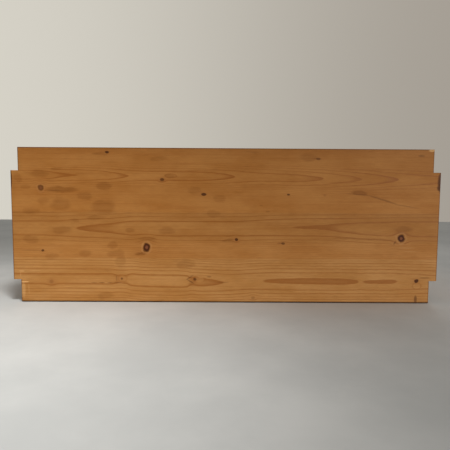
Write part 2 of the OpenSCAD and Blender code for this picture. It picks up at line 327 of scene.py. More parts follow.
def spots_on(tree, along, across, places):
    given = {"Along": along, "Across": across, **dict.fromkeys(SPOT_FOUND, 0.0)}
    found = chain(tree, spot_nodes, given, SPOT_PLACE, places)
    return found["Spot"], found["Rim"]


print("a knot carries", ", ".join(KNOT_FOUND), "and a spot", ", ".join(SPOT_FOUND))

# %% [markdown]
# ## The oiled finish
# Early wood is pale and soft, late wood is dark and hard, and each ring ends in a sharp line. The
# finish turns the ring count into that profile, adds short fibres along the grain, and then lays
# spots, knots, scuffs, painted highlights and painted shade on the edges over it, with a painted
# shadow along the foot where the board stands. The foot of a board is painted paler and its upper
# part darker, as painted light bounced from the bright floor, and the top 34 mm are darker still.
# Late wood is also a little smoother and stands a little proud, so the same values drive the
# roughness and the bump.
# Beekeepers oil only the outside, because bees dislike the smell, so the inner face stays bare.

# %% Tones and measures of an oiled board
# foot is the near-black of the painted shadow along the foot of a board; edge is the dark of sawn ends, marks
# and the painted edge shade
HONEY = dict(
    pale=tint(166, 113, 59), warm=tint(155, 101, 47), late=tint(130, 72, 23), red=tint(120, 58, 22),
    soak=(0.73, 0.67, 0.58, 1.0), knot=tint(58, 23, 6), middle=tint(122, 72, 44), scuff_and_highlight=tint(222, 176, 118),
    edge=tint(74, 38, 14), foot=tint(44, 27, 15), bare=tint(206, 170, 116), bare_late=tint(176, 126, 72))


def board_axes(tree, order, face, inward):
    """Millimetres along the grain, across it, and into the board from its outer face."""
    split = parts(add(tree, "ShaderNodeTexCoord", output="Object"))
    along, across = (split["XYZ".index(axis)] * (1 / MM) for axis in order[:2])
    # one sum, not three, because a face may lie just where a plank begins, and rounding would move it
    deep = split["XYZ".index(order[2])].math("MULTIPLY_ADD", inward / MM, -face * inward)
    return along, across, deep, vector_of(tree, along, across, deep)


def edge_distance(along, across, outline):
    """Millimetres to the nearest outer edge of a board with notched corners, and to its nearest sawn end."""
    half_tongue, half_shoulder, low, low_step, high_step, high = outline
    notched = across.math("LESS_THAN", low_step).math("MAXIMUM", across.math("GREATER_THAN", high_step))
    ends = notched * (half_shoulder - half_tongue) + half_tongue - along.math("ABSOLUTE")
    sides = (across - low).math("MINIMUM", high - across)
    return ends.math("MINIMUM", sides), ends


def stave_rings(along, across, flow, deep, half_length, staves):
    """Ring count over all staves, how strongly the rings show, and the tone of each stave."""
    tree, counted = along.tree, None
    ripple = (cloud(along, (0.022, 0.0, 0.0)) - 0.5) * 0.08
    for low, heights, ring, reach, plain, tone, depths in staves:
        off = flow - bend(along, half_length, heights)
        rings = ring_count(off, deep, ring, ripple + bend(along, half_length, depths))
        clear = off.math("ABSOLUTE").fade(reach, 0.3 * reach, plain, 1.0)
        if counted is None:
            counted, shown, shade = rings, clear, (*tone, 1.0)
            continue
        upper = across.math("GREATER_THAN", low)
        counted = add(tree, "ShaderNodeMix", {0: upper, 2: counted, 3: rings}, data_type="FLOAT")
        shown = add(tree, "ShaderNodeMix", {0: upper, 2: shown, 3: clear}, data_type="FLOAT")
        shade = blend(tree, upper, shade, (*tone, 1.0))
    return counted, shown, shade


print("tones in the oiled finish:", ", ".join(HONEY))

# %% The oiled finish itself
OILED_DEPTH = 17.5    # millimetres of the board's 18 that are oiled
OILED_SHINE = 0.12


def oiled_pine(name, order, face, inward, outline, staves, knots, eyes, spots, marks=(), scuffs_and_highlights=()):
    finish, tree = new_finish(name)
    along, across, deep, point = board_axes(tree, order, face, inward)
    reach, bottom, top = outline[0], outline[2], outline[5]
    sway = cloud(point, (0.006, 0.03, 0.03)) - 0.5
    shiver = cloud(point, (0.035, 0.16, 0.16)) - 0.5
    flow = sway * 5.0 + (shiver * 1.6 + across)
    ragged = cloud(point, (0.05, 0.05, 0.05), 1.0) * 4.0 + (along - 2.0)
    wobble = cloud(point, (0.06, 0.07, 0.06)) * 1.6 - 0.8
    found = knots_on(tree, ragged, flow, wobble, knots)

    counted, shown, tone = stave_rings(along, across, found["Across"], deep, reach, staves)
    part = counted.math("FRACT")
    year = add(tree, "ShaderNodeTexWhiteNoise", {"W": counted.math("FLOOR")}, noise_dimensions="1D")
    late = part.fade(0.62, 0.95) * part.fade(1.0, 0.965) * shown * (year * 0.4 + 0.6)
    fibre = cloud(point, (0.05, 1.1, 1.1), 3.0, 0.6)
    streak = cloud(point, (0.004, 0.22, 0.22), 3.0, 0.55)
    mottle = cloud(point, (0.007, 0.022, 0.03), 3.0, 0.55)

    drift = parts(add(tree, "ShaderNodeTexNoise", {"Vector": point, "Scale": 0.035, "Detail": 3.0}, 1))
    spot, _ = spots_on(tree, (drift[0] - 0.5) * 26.0 + along, (drift[1] - 0.5) * 13.0 + across, spots)
    eye, eye_line = spots_on(tree, ragged, flow, eyes)
    if eyes:
        late = late * eye.fade(0.0, 0.8, 1.0, 0.25)
    mark = spots_on(tree, along, flow, marks)[0] * deep.fade(9.0, 2.0)
    # pale scuffs and chips, and painted highlights along the lip of a crack
    scuff_and_highlight, _ = spots_on(tree, ragged, across, scuffs_and_highlights)
    gap, to_end = edge_distance(along, across, outline)
    skin = deep.fade(3.0, 0.6)
    # painted shade on the eased edges, stronger towards the left end
    edge_shade = gap.fade(3.6, 0.4) * skin * along.fade(-reach, reach, 1.0, 0.7)
    # painted shadow along the foot, where the board stands
    foot = (across - bottom).fade(4.4, 2.2) * skin

    colour = blend(tree, mottle.fade(0.3, 0.7), HONEY["pale"], HONEY["warm"])
    colour = layers(tree, colour, HONEY, [
        (streak.fade(0.45, 0.75), 0.30, "late"), (late, 0.80, "late"), (found["Swirl"], 0.12, "scuff_and_highlight"),
        (eye, 0.25, "pale"), (eye_line, 0.55, "late")])
    colour = blend(tree, 1.0, colour, tone, "MULTIPLY")
    colour = blend(tree, spot, colour, blend(tree, 1.0, colour, HONEY["soak"], "MULTIPLY"))
    colour = layers(tree, colour, HONEY, [
        (found["Halo"], 0.55, "red"), (across.fade(top - 34.0, top), 0.25, "late")])
    bare = blend(tree, late * 0.8, HONEY["bare"], HONEY["bare_late"])
    colour = blend(tree, deep.fade(OILED_DEPTH - 0.2, OILED_DEPTH + 0.3), colour, bare)
    colour = layers(tree, colour, HONEY, [
        (to_end.fade(0.7, 0.2), 0.45, "edge"), (edge_shade, 0.75, "edge"), (foot, 0.85, "foot"),
        (mark, 0.90, "edge"), (found["Core"], 1.0, "knot"), (found["Middle"], 0.85, "middle"),
        (scuff_and_highlight, 0.8, "scuff_and_highlight")])
    # painted light: the foot is painted paler and the top darker, as light bounced from the bright floor; the
    # fibre term is grain
    tone_scale = across.fade(bottom - 40.0, top + 40.0, 1.26, 0.94) * fibre.fade(0.35, 0.7, 1.05, 0.88)
    colour = blend(tree, 1.0, colour, vector_of(tree, tone_scale, tone_scale, tone_scale), "MULTIPLY")

    rough = late * -0.1 + (fibre * 0.16 + 0.5)
    height = late * 0.35 + (fibre * 0.35 + found["Core"].math("MAXIMUM", mark) * -0.6)
    shader = surface(tree, colour, rough, height, 0.35, 0.0006)
    shader["Specular IOR Level"].default_value = OILED_SHINE
    return finish


print("oiled finish ready")

# %% [markdown]
# ## Cutting boards with eased edges
# A planed board has no knife-sharp edge: a plane or sandpaper takes about a millimetre off. A Bevel
# modifier could do that on the CAD mesh, but the small screw holes would hold the bevel back. So
# each board is cut anew at the CAD size: an outline is pulled to thickness, saw cuts are taken out,
# the outer edges are eased, and only then are the screw seats sunk.

# %% Boards, blocks and rods
def as_object(name, bm):
    mesh = bpy.data.meshes.new(name)
    bmesh.ops.recalc_face_normals(bm, faces=bm.faces[:])
    bm.to_mesh(mesh)
    bm.free()
    return in_scene(name, mesh)


def plate(name, outline, axis, start, end):
    """An outline in millimetres, drawn at one place on an axis and pulled to another."""
    bm = bmesh.new()
    corners = [(*place[:axis], start, *place[axis:]) for place in outline]
    face = bm.faces.new([bm.verts.new([c * MM for c in corner]) for corner in corners])
    for part in bmesh.ops.extrude_face_region(bm, geom=[face])["geom"]:
        if isinstance(part, bmesh.types.BMVert):
            part.co[axis] = end * MM
    return as_object(name, bm)


def block(bm, low, high):
    size = Vector(high) - Vector(low)
    middle = (Vector(high) + Vector(low)) / 2
    place = Matrix.Translation(middle * MM) @ Matrix.Diagonal((*(size * MM), 1.0))
    bmesh.ops.create_cube(bm, size=1.0, matrix=place)


def rod(bm, start, end, first, last, sides):
    """A round cutter between two points, with a radius at each end."""
    start, end = Vector(start), Vector(end)
    axis = end - start
    place = Matrix.Translation((start + end) / 2 * MM) @ axis.to_track_quat("Z", "Y").to_matrix().to_4x4()
    bmesh.ops.create_cone(bm, cap_ends=True, segments=sides, radius1=first * MM, radius2=last * MM,
                          depth=axis.length * MM, matrix=place)


print("boards, blocks and rods are measured in millimetres")

# %% Saw and plane
SHARP, FLAT = math.radians(40), math.radians(1)
EASE = 0.8    # millimetres taken off most edges


def keep_result(thing, modifier):
    """Makes what the modifier shows the piece's own plain mesh."""
    shape = bpy.data.meshes.new_from_object(thing.evaluated_get(bpy.context.evaluated_depsgraph_get()))
    thing.modifiers.remove(modifier)
    waste, thing.data = thing.data, shape
    bpy.data.meshes.remove(waste)
    shape.name = thing.name


def take_out(thing, cutter_bm):
    cutter = as_object("cutter", cutter_bm)
    saw = thing.modifiers.new("saw", "BOOLEAN")
    saw.operation, saw.solver, saw.object = "DIFFERENCE", "EXACT", cutter
    keep_result(thing, saw)
    bpy.data.objects.remove(cutter)


def ease(thing, width, steps=3):
    bm = bmesh.new()
    bm.from_mesh(thing.data)
    bmesh.ops.dissolve_limit(bm, angle_limit=FLAT, verts=bm.verts[:], edges=bm.edges[:])
    outer = [edge for edge in bm.edges
             if edge.is_manifold and edge.is_convex and edge.calc_face_angle() > SHARP]
    bmesh.ops.bevel(bm, geom=outer, offset=width * MM, segments=steps, profile=0.5, affect="EDGES",
                    clamp_overlap=True)
    bmesh.ops.recalc_face_normals(bm, faces=bm.faces[:])
    bm.to_mesh(thing.data)
    bm.free()


def settle(thing, node, finish):
    """Gives a piece its finish, and puts it on the body and in the place of its CAD node."""
    thing.data.materials.clear()
    thing.data.materials.append(finish)
    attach(thing, body_of[node])
    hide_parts(node)
    return thing


print("saw and plane ready")

# %% [markdown]
# ## The side board that the photograph shows
# It is the piece that everyone sees, so its grain follows the photograph. It is glued from four
# staves: the arches of the upper one point right, those of the middle one point left, one is plain,
# and the lower one has two long dark lenses. Each number below is a place in millimetres, along the
# board from its middle and up from its foot. The knots and the oil spots are listed one by one,
# because no random pattern would put them in the right places.

# %% Sizes of the box
TONGUE, SHOULDER = 551, 532            # half length over the tongues, and between the notches
STEP, STEP_TOP, TOP = 59, 341, 400     # heights of the lower and upper notches and of the top edge
INNER, OUTER = 234, 252                # faces of a side board, from the middle of the box
RAIL_FACE, BAR_BASE = 514, 376         # inner face of an end rail, underside of the bars
SIDE_OUTLINE = (TONGUE, SHOULDER, 0, STEP, STEP_TOP, TOP)
END_OUTLINE = (INNER, INNER, STEP, STEP, STEP_TOP, STEP_TOP)
print("the box is", 2 * TONGUE, "mm long,", 2 * OUTER, "mm wide and", TOP, "mm high")

# %% Staves of the front side board
# lowest height, height of the heart, ring width, reach and share of plain rings, tone, depth of the heart
LOWER = (
    0, [(-551, 61.5), (-300, 61), (-200, 56.5), (-100, 55.5), (-20, 53), (30, 54), (100, 57), (551, 57)],
    4.0, 50, 0.95, (1.05, 1.17, 1.36), [
        (-551, 15.56), (-300, 15.56), (-276, 15.75), (-262, 15.72), (-236, 15.4), (-120, 15.38), (-100, 15.5),
        (-84, 15.8), (-70, 15.74), (-40, 15.82), (1, 16), (48, 16.1), (93, 16), (128, 15.92), (178, 15.87),
        (248, 15.85), (308, 15.87), (336, 15.93), (349, 16), (352, 16.03), (355, 16), (383, 15.93),
        (428, 15.92), (452, 16), (551, 16.3)])
PLAIN = (116, [(-551, 230), (551, 230)], 4.6, 50, 0.5, (1.0, 1.02, 1.04), [(-551, 9.4), (551, 8.6)])
MIDDLE = (
    157, [(-551, 193.5), (0, 194), (190, 198.5), (420, 195.5), (551, 195)],
    5.0, 50, 0.85, (0.93, 0.945, 0.93), [
        (-551, 11.35), (-440, 11.25), (-402, 11.06), (-382, 10.97), (-357, 10.87), (-328, 10.77),
        (-300, 10.69), (-283, 10.56), (-257, 10.36), (-215, 10.22), (-101, 10.2), (18, 10.18), (108, 10.08),
        (150, 10.01), (163, 9.99), (198, 9.96), (260, 9.88), (297, 9.72), (379, 9.35), (455, 9.14),
        (551, 9.06)])
UPPER = (
    236, [(-551, 329.5), (30, 328), (230, 324), (551, 322.5)],
    3.2, 36, 0.28, (1.0, 0.98, 0.9), [
        (-551, 8.12), (-465, 8.26), (-442, 8.53), (-419, 8.82), (-395, 8.95), (-380, 8.985), (-368, 9.02),
        (-300, 9.45), (-248, 10), (-201, 10.25), (-62, 10.4), (-10, 10.7), (24, 11), (60, 11.3), (96, 11.45),
        (177, 11.55), (215, 11.75), (252, 12), (283, 12.42), (312, 12.63), (335, 12.87), (350, 13),
        (445, 14), (551, 14.7)])
FRONT_STAVES = [LOWER, PLAIN, MIDDLE, UPPER]
print("the front board has", len(FRONT_STAVES), "staves")

# %% Knots, eyes, spots, marks and scuffs of the front side board
# along, up, radius, stretch, darkness, glow
KNOTS = [
    (-205, 144, 10.5, 0.9, 0.95, 0.3), (455, 171, 10, 0.95, 0.97, 0.45), (-475, 297, 7.5, 1, 0.62, 0.5),
    (-164, 320, 4.5, 1.2, 0.7, 0.3), (-58, 281, 4, 1.7, 0.85, 0.3), (-474, 135, 3.2, 1.2, 0.8, 0.2),
    (-270, 62, 3.5, 1, 0.6, 0.1), (-80, 61, 4, 1, 0.68, 0.2), (-453, 54, 5, 1.1, 0.2, 0.5),
    (160, 283, 2.6, 1.5, 0.75, 0.2), (27, 166, 3.8, 1.1, 0.85, 0.3), (149, 156, 3.2, 1.5, 0.65, 0.1),
    (499, 59, 5, 1.15, 0.92, 0.4), (-304, 388, 3.2, 1.8, 0.9, 0.2), (235, 375, 3, 1.7, 0.5, 0.2),
    (72, 12, 4, 1.2, 0.25, 0.2), (254, 281, 3, 1.4, 0.2, 0.1)]
# along, up, half length, half height, strength, slope
EYES = [
    (-268, 62, 11, 8, 0.35), (-69, 60, 14, 8, 0.4), (500, 46, 11, 8, 0.6), (-142, 329, 14, 5, 0.7)]
SPOTS = [
    (-478, 332, 25, 10, 0.6), (-421, 293, 42, 9, 0.95), (-313, 303, 20, 10, 0.75),
    (-365, 275, 20, 10, 0.6), (-426, 255, 27, 17, 0.6), (-315, 249, 30, 19, 0.75),
    (-338, 222, 25, 6, 0.6), (-503, 238, 22, 10, 0.5), (-470, 263, 15, 9, 0.5), (-388, 213, 10, 5, 0.5),
    (-424, 188, 27, 11, 0.6), (-246, 189, 13, 6, 0.6), (-152, 188, 22, 10, 0.6),
    (-503, 163, 21, 10, 0.6), (-293, 151, 14, 9, 0.6), (-363, 127, 19, 9, 0.65),
    (-287, 128, 22, 10, 0.6), (-273, 110, 12, 15, 0.5), (-451, 120, 17, 10, 0.5),
    (-102, 102, 22, 14, 0.5), (-313, 18, 22, 10, 0.5), (-83, 292, 17, 10, 0.55),
    (-15, 272, 17, 10, 0.5), (-32, 232, 17, 9, 0.5), (-171, 372, 25, 7, 0.5), (-322, 383, 22, 4.5, 0.7),
    (210, 378, 22, 10, 0.6), (65, 392, 22, 3, 0.5), (-436, 345, 15, 4, 0.5),
    (345, 289, 20, 6.5, 0.95, -0.12), (-143, 329, 14, 5, 0.75), (-533, 322, 10, 12, 0.5),
    (-515, 300, 14, 6, 0.4), (458, 194, 28, 8, 0.7), (-205, 166, 22, 5, 0.6), (-219, 128, 11, 4.5, 1),
    (4, 164, 22, 3.4, 0.8), (352, 168, 85, 3, 0.5, -0.02)]
MARKS = [
    (-343, 51, 9, 0.6, 0.9), (-322, 51.5, 8, 0.6, 1), (-302, 51.3, 8, 0.6, 0.8),
    (-281, 51.5, 10, 0.6, 0.8), (498, 10.3, 4, 11, 0.7), (520, 67.5, 15, 2.2, 0.4),
    (535, 57, 10, 1.6, 0.3), (499, 383.5, 9, 3, 0.4), (108, 238.5, 6, 1.5, 0.35),
    (90, 255.5, 5, 1.5, 0.3), (551, 316, 8, 26, 1), (551, 302, 9, 10, 1), (-551, 318, 4, 26, 0.9),
    (139, 155.8, 7, 1.2, 0.45), (-440, 290.8, 20, 1.4, 0.3), (-500, 135.5, 32, 1.2, 0.3),
    (-94, 65, 10, 2.2, 0.5, 0.6), (-92, 55, 10, 2.2, 0.5, -0.55), (-43, 68, 6, 1.8, 0.45),
    (-8, 53.5, 16, 1.2, 0.4), (-284, 62, 2, 7, 0.3), (345, 284, 46, 1.6, 0.3, -0.09),
    (403, 271, 36, 2.4, 0.4, -0.3), (463, 255, 36, 1.6, 0.25, -0.17), (-222, 128, 8, 1.6, 0.25, 0.2),
    (8, 160.5, 16, 0.9, 0.3), (438, 160, 3.5, 4, 0.5, 0.9)]
# pale scuffs and chips; the two at 50.2 mm up are painted highlights along the lower lip of the crack in the
# marks
SCUFFS_AND_HIGHLIGHTS = [
    (-523, 52.5, 11, 1.5, 0.8), (-512, 35, 1.5, 14, 0.15), (-530, 81, 7, 2, 0.3),
    (525, 397, 8, 3.4, 0.7), (-533, 72, 1.6, 7, 0.15), (-527, 32, 6, 20, 0.3),
    (-310, 50.2, 9, 0.6, 0.45), (-274, 50.2, 8, 0.6, 0.35), (-495, 82, 14, 1.2, 0.15),
    (468, 146, 24, 1.3, 0.18), (480, 137, 20, 1.2, 0.15)]
front_pine = oiled_pine("oiled_pine_front", "XZY", -OUTER, 1, SIDE_OUTLINE, FRONT_STAVES,
                        KNOTS, EYES, SPOTS, MARKS, SCUFFS_AND_HIGHLIGHTS)
print(len(KNOTS), "knots and", len(SPOTS), "oil spots on the front board")

# %% [markdown]
# ## The boards that nobody has seen
# The rear board and the end boards come from other staves, so their grain is not copied from the
# front. It could be painted, but here seeded dice draw it, and the same seed gives the same board
# each time.

# %% Thrown grain
def thrown_staves(dice, reach, edges):
    """Staves between the given heights."""
    staves = []
    for low, high in zip(edges, edges[1:]):
        rings, depths = dice.uniform(9, 13), []
        slope = dice.choice((-1, 1)) * dice.uniform(0.5, 1.1)
        for x in range(-reach, reach + 1, 58):
            depths.append((x, rings))
            rings += slope * dice.uniform(-0.1, 0.6)
        light = dice.uniform(0.92, 1.06)
        tone = (light, light * dice.uniform(0.98, 1.08), light * dice.uniform(0.95, 1.2))
        heart = dice.uniform(low + 30, high - 30)
        heights = [(-reach, heart), (0, heart + dice.uniform(-5, 5)), (reach, heart + dice.uniform(-5, 5))]
        ring, plain_reach, plain = dice.uniform(3.2, 4.8), dice.uniform(30, 50), dice.uniform(0.4, 0.8)
        staves.append((low, heights, ring, plain_reach, plain, tone, depths))
    return staves


def thrown_marks(dice, outline, knots, spots):
    """The given number of knots and of oil spots."""
    reach, low, high = outline[0] - 30, outline[2] + 15, outline[5] - 15
    found = []
    for _ in range(knots):
        radius = dice.choice((3, 3.5, 4, 4.5, 5.5, 9.5))
        found.append((dice.uniform(-reach, reach), dice.uniform(low, high), radius, dice.uniform(0.9, 1.4),
                      dice.uniform(0.5, 1.0), dice.uniform(0.0, 0.4)))
    soaked = [(dice.uniform(-reach, reach), dice.uniform(low, high), dice.uniform(12, 32),
               dice.uniform(5, 14), dice.uniform(0.3, 0.6)) for _ in range(spots)]
    return found, soaked


def thrown_pine(name, seed, order, face, inward, outline, knots, spots, edges):
    dice = random.Random(seed)
    found, soaked = thrown_marks(dice, outline, knots, spots)
    staves = thrown_staves(dice, outline[0], edges)
    return oiled_pine(name, order, face, inward, outline, staves, found, [], soaked)


rear_pine = thrown_pine("oiled_pine_rear", 41, "XZY", OUTER, -1, SIDE_OUTLINE, 14, 16, (0, 128, 262, TOP))
print("thrown finish:", rear_pine.name)

# %% [markdown]
# ## The two side boards
# A side board is one outline with four notches, pulled to 18 mm. A rest is planed out along its
# inner top edge for the ends of the bars, half as deep as the board is thick.

# %% Cut both side boards
SIDE_EASE, CLEAR = 1.2, 5    # how wide the edges are eased, and how far a cutter reaches past the wood


def side_board(name, inner, outer):
    right = [(SHOULDER, 0), (SHOULDER, STEP), (TONGUE, STEP),
             (TONGUE, STEP_TOP), (SHOULDER, STEP_TOP), (SHOULDER, TOP)]
    left = [(-x, z) for x, z in reversed(right)]
    board = plate(name, left[-1:] + right + left[:-1], 1, outer, inner)
    half = (outer - inner) / 2
    low, high = sorted((inner - half, inner + half))
    rest = bmesh.new()
    block(rest, (-RAIL_FACE, low, BAR_BASE), (RAIL_FACE, high, TOP + CLEAR))
    take_out(board, rest)
    ease(board, SIDE_EASE)
    return board


for side, way, pine in (("front", -1, front_pine), ("rear", 1, rear_pine)):
    node = side + "_side_board"
    board = settle(side_board(node + "_eased", way * INNER, way * OUTER), node, pine)
    print(board.name, "faces:", len(board.data.polygons))

# %% [markdown]
# ## The end boards
# They stand between the tongues of the side boards and close the box. The right one has the round
# flight hole, drilled before its edges are eased, so that its rim is soft too. Screw seats in hidden
# faces are left out, because the screws themselves fill them.

# %% Cut both end boards
HOLE_HEIGHT, HOLE_RADIUS = 107, 20
END_FACE = 550


def end_board(name, low_x, high_x, drilled):
    bm = bmesh.new()
    block(bm, (low_x, -INNER, STEP), (high_x, INNER, STEP_TOP))
    board = as_object(name, bm)
    if drilled:
        drill = bmesh.new()
        start, end = (low_x - CLEAR, 0, HOLE_HEIGHT), (high_x + CLEAR, 0, HOLE_HEIGHT)
        rod(drill, start, end, HOLE_RADIUS, HOLE_RADIUS, 64)
        take_out(board, drill)
    ease(board, EASE)
    return board


for end, way, seed in (("left", -1, 7), ("right", 1, 23)):
    pine = thrown_pine("oiled_pine_" + end, seed, "YZX", way * END_FACE, -way, END_OUTLINE, 6, 7,
                       (STEP, 150, 250, STEP_TOP))
    low_x, high_x = sorted((way * SHOULDER, way * END_FACE))
    node = end + "_end_board"
    board = settle(end_board(node + "_eased", low_x, high_x, end == "right"), node, pine)
    print(board.name, "faces:", len(board.data.polygons))

# %% [markdown]
# ## Bare pine for the sticks
# Bars, battens, rails and runners are ripped from planed planks and stay bare. Dozens of sticks
# cannot each have a finish of their own, so one finish serves them all: it works out which stick
# a point belongs to from its place, and dice thrown for that number set the heart, the ring depth,
# the tone and one knot. Neighbouring bars then look like neighbours, not like copies.

# %% The bare finish
BARE = dict(
    pale=tint(216, 180, 126), warm=tint(204, 164, 108), late=tint(178, 128, 74), red=tint(150, 92, 50),
    knot=tint(98, 48, 18), dirt_and_seam_shade=tint(146, 110, 70), wax=tint(226, 182, 88))
PLANK = 60.0    # millimetres into the hive after which another plank begins
BARE_SHINE = 0.2


def bare_pine(name, order, face, inward, stick, start, knot_reach, wax=None):
    finish, tree = new_finish(name)
    along, across, deep, _ = board_axes(tree, order, face, inward)
    number = ((across - start) / stick).math("FLOOR")
    local = across - ((number + 0.5) * stick + start)
    plank = (deep / PLANK).math("FLOOR")
    token = plank.math("MULTIPLY_ADD", 7.31, number)    # a number for each stick of each plank

    def throw(shift):
        """Three dice for the token. Another shift gives three others."""
        return parts(add(tree, "ShaderNodeTexWhiteNoise", {"W": token + shift}, 1, noise_dimensions="1D"))

    one, two = throw(0.37), throw(51.13)
    shifted = vector_of(tree, along, across, token * 90.0 + deep)
    sway = cloud(shifted, (0.006, 0.03, 0.03)) - 0.5
    knot = ((two[0] - 0.5) * (2.0 * knot_reach), (two[1] - 0.5) * (0.6 * stick),
            two[2].fade(0.35, 1.0) * 4.5 + 0.6, 1.2, 0.85, 0.5)
    found = knots_on(tree, along, sway * 7.0 + local, 0.0, [knot])

    heart = (one[0] - 0.5) * 70.0
    tilt = (one[2] - 0.5) * 0.014
    rings_deep = sway * 1.2 + (along * tilt + (one[1] * 10.0 + 6.0))
    part = ring_count(found["Across"] - heart, deep - plank * PLANK, 2.8, rings_deep).math("FRACT")
    late = part.fade(0.45, 0.93) * part.fade(1.0, 0.96)
    fibre = cloud(shifted, (0.05, 1.2, 1.2), 3.0, 0.6)
    mottle = cloud(shifted, (0.008, 0.04, 0.04), 3.0, 0.55)
    handled = cloud(shifted, (0.011, 0.02, 0.02), 4.0, 0.6).fade(0.55, 0.8) * 0.35
    # painted shade along the sides of each stick, for the gaps between neighbouring bars; it takes the
    # grey-brown of the handling dirt
    seam_shade = local.math("ABSOLUTE").fade(stick / 2 - 1.5, stick / 2 - 0.2, 0.0, 0.45)

    colour = blend(tree, mottle * 0.6 + two[1] * 0.5, BARE["pale"], BARE["warm"])
    coats = [(late, 0.7, "late"), (found["Halo"], 0.5, "red"), (found["Core"], 1.0, "knot"),
             (handled.math("MAXIMUM", seam_shade), 1.0, "dirt_and_seam_shade")]
    if wax:
        coats.append((deep.fade(wax, wax + 1.5), 0.55, "wax"))
    colour = layers(tree, colour, BARE, coats)
    tone_scale = fibre.fade(0.35, 0.7, 1.03, 0.9) * (one[2] * 0.24 + 0.86)
    colour = blend(tree, 1.0, colour, vector_of(tree, tone_scale, tone_scale, tone_scale), "MULTIPLY")
    shader = surface(tree, colour, fibre * 0.2 + 0.58, late * 0.4 + fibre * 0.5, 0.35, 0.0006)
    shader["Specular IOR Level"].default_value = BARE_SHINE
    return finish


BAR_STEP = 35.4
bar_pine = bare_pine("bare_pine_bars", "YXZ", TOP, -1, BAR_STEP, -513.3, 210, wax=24.2)
long_pine = bare_pine("bare_pine_long_sticks", "XYZ", -10, 1, 100, 0, 480)
panel_pine = bare_pine("bare_pine_rails_and_panel", "YZX", -6, 1, 100, 0, 200)
cross_pine = bare_pine("bare_pine_cross_battens", "YXZ", -10, 1, 100, 0, 190)
print("bare finishes:", bar_pine.name, long_pine.name, panel_pine.name, cross_pine.name)

# %% [markdown]
# ## A tree that sets things out
# Screws, staples and dowels repeat. A joiner marks the places first and then sets the same thing in
# each. Geometry Nodes do just that: the marks are loose points that carry a facing and a turn, and
# the tree puts one copy of a pattern on each mark. The result is turned into a plain mesh, because
# copies that exist only in the tree would be lost later.

# %% Trees with named inputs
def geometry_tree(name, inputs):
    tree = bpy.data.node_groups.new(name, "GeometryNodeTree")
    for label, kind in (("Geometry", "Geometry"), *inputs, ("Finish", "Material")):
        tree.interface.new_socket(label, in_out="INPUT", socket_type="NodeSocket" + kind)
    tree.interface.new_socket("Geometry", in_out="OUTPUT", socket_type="NodeSocketGeometry")
    return tree, {socket.name: Reading(tree, socket) for socket in tree.nodes.new("NodeGroupInput").outputs}


def hand_out(tree, given, shape):
    real = add(tree, "GeometryNodeRealizeInstances", {"Geometry": shape})
    done = add(tree, "GeometryNodeSetMaterial", {"Geometry": real, "Material": given["Finish"]})
    feed(tree, tree.nodes.new("NodeGroupOutput").inputs[0], done)
    return tree


def grown(name, tree, values, marks=()):
    """Runs a tree on marks of (place in mm, facing, turn in degrees) and keeps the plain mesh."""
    ground = bpy.data.meshes.new(name)
    ground.from_pydata([Vector(place) * MM for place, _, _ in marks], [], [])
    facings = [c for _, way, _ in marks for c in way]
    turns = [math.radians(turn) for _, _, turn in marks]
    ground.attributes.new("facing", "FLOAT_VECTOR", "POINT").data.foreach_set("vector", facings)
    ground.attributes.new("turn", "FLOAT", "POINT").data.foreach_set("value", turns)
    thing = in_scene(name, ground)
    grow = thing.modifiers.new("grow", "NODES")
    grow.node_group = tree
    for socket in tree.interface.items_tree:
        if socket.in_out == "INPUT" and socket.name in values:
            grow[socket.identifier] = values[socket.name]
    keep_result(thing, grow)
    return thing


print("a tree takes sizes and a finish, and gives a plain mesh")

# %% The setting-out tree
def set_out_tree():
    tree, given = geometry_tree("set_out", (("Pattern", "Object"),))
    pattern = add(tree, "GeometryNodeObjectInfo", {"Object": given["Pattern"]}, "Geometry")
    facing = add(tree, "GeometryNodeInputNamedAttribute", {"Name": "facing"}, data_type="FLOAT_VECTOR")
    turn = add(tree, "GeometryNodeInputNamedAttribute", {"Name": "turn"}, data_type="FLOAT")
    aimed = add(tree, "FunctionNodeAlignRotationToVector", {"Vector": facing}, axis="Z")
    spun = add(tree, "FunctionNodeAxisAngleToRotation", {"Axis": (0, 0, 1), "Angle": turn})
    both = {"Rotation": aimed, "Rotate By": spun}
    rotation = add(tree, "FunctionNodeRotateRotation", both, rotation_space="LOCAL")
    wanted = {"Points": given["Geometry"], "Instance": pattern, "Rotation": rotation}
    return hand_out(tree, given, add(tree, "GeometryNodeInstanceOnPoints", wanted))


set_out = set_out_tree()
print("tree:", set_out.name, "with", len(set_out.nodes), "nodes")

# %% [markdown]
# ## Metal finishes
# Zinc plating is bright but never even, wire is duller, and galvanised sheet shows the crystals that
# the zinc made when it cooled. Cells of a Voronoi pattern, each with its own grey, give those
# crystals. The disc also has fine scratches round its screw, because it is turned every season.

# %% Zinc, wire and galvanised sheet
PIVOT = 141         # millimetres, height of the disc's screw
METALLIC = 0.9
RIDGES = 2600.0     # scratches for each metre of the disc's radius


